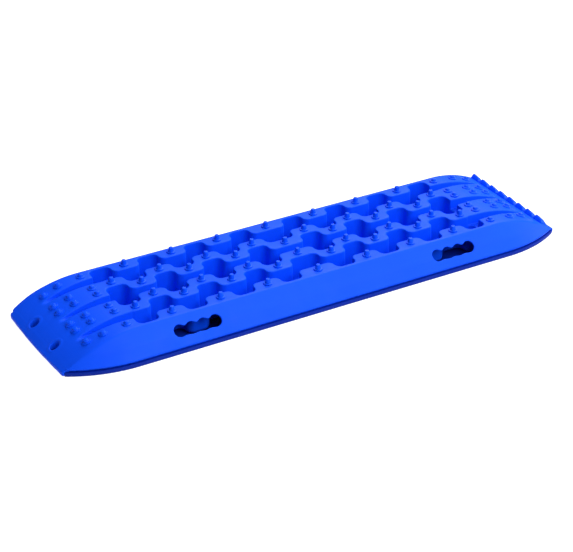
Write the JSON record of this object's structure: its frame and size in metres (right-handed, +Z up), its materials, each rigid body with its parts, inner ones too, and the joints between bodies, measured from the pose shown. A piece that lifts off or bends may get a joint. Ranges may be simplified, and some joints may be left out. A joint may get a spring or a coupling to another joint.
{
  "type": "vehicle traction board",
  "caption": "Long ramped plastic traction board with meandering channels, studded top, handle slots and two end holes for a wheel stuck in snow, sand or mud.",
  "frame": {"origin": "centre of the footprint, on the ground", "axes": "+X along the board towards the toothed end, +Y across it, +Z up"},
  "size_m": [1.072, 0.308, 0.069],
  "materials": {
    "deck_plastic": "moulded nylon, satin, fine grain",
    "frame_plastic": "moulded nylon, satin, fine grain",
    "stud_plastic": "moulded nylon, satin, slightly polished tips",
    "plated_steel": "zinc plated"
  },
  "bodies": {
    "root": {"deck_shell": "deck_plastic", "base_frame": "frame_plastic", "frame_screws": "plated_steel", "near_border_studs": "stud_plastic", "far_border_studs": "stud_plastic", "near_rib_studs": "stud_plastic", "far_rib_studs": "stud_plastic", "left_ramp_studs": "stud_plastic", "right_ramp_studs": "stud_plastic", "end_teeth": "stud_plastic", "border_stud_nuts": "plated_steel", "rib_stud_nuts": "plated_steel", "ramp_stud_nuts": "plated_steel", "tooth_nuts": "plated_steel"}
  },
  "joints": []
}
